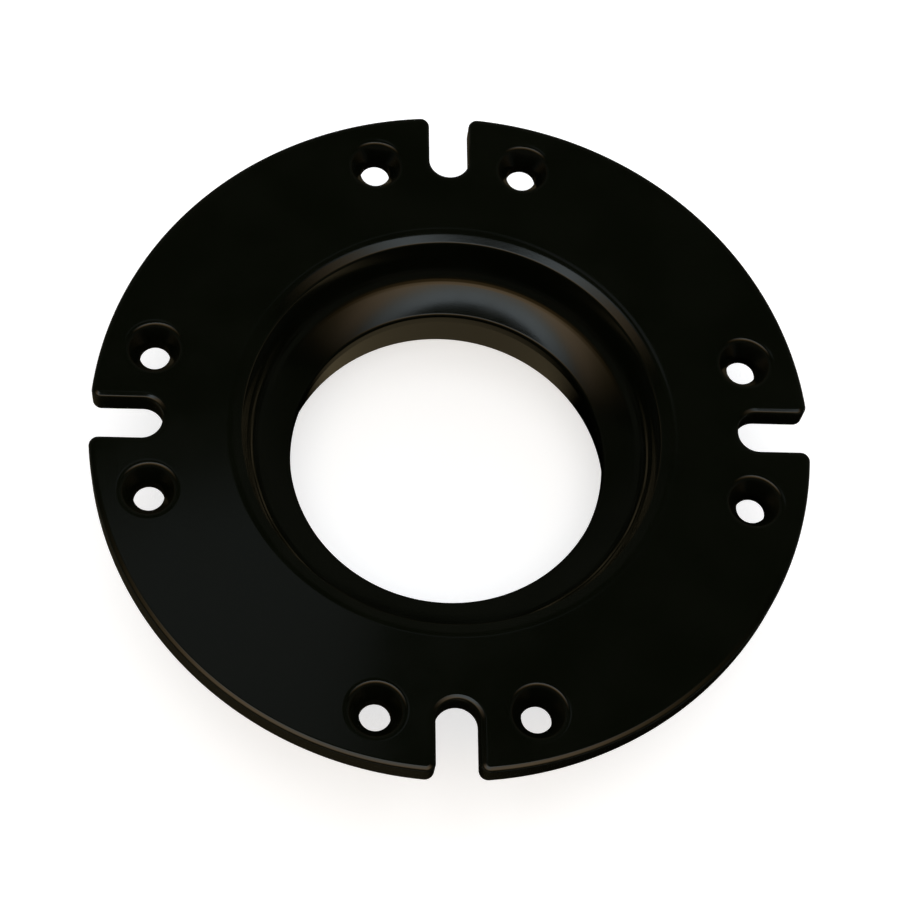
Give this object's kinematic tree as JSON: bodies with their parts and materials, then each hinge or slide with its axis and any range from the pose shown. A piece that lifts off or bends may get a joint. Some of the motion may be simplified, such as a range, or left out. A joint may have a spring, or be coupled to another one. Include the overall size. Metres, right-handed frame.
{
  "type": "closet flange",
  "caption": "Round moulded plastic closet flange with open bolt slots, countersunk screw holes, a dished funnel and a short pipe spigot.",
  "frame": {"origin": "on the part's axis, at the lower end of the spigot", "axes": "+Z along the axis, from the spigot up through the plate; +X and +Y each through the middle of a bolt slot"},
  "size_m": [0.1772, 0.1772, 0.036],
  "materials": {
    "black_plastic": "semi-gloss black moulded plastic"
  },
  "bodies": {
    "root": {"closet_flange": "black_plastic"}
  },
  "joints": []
}
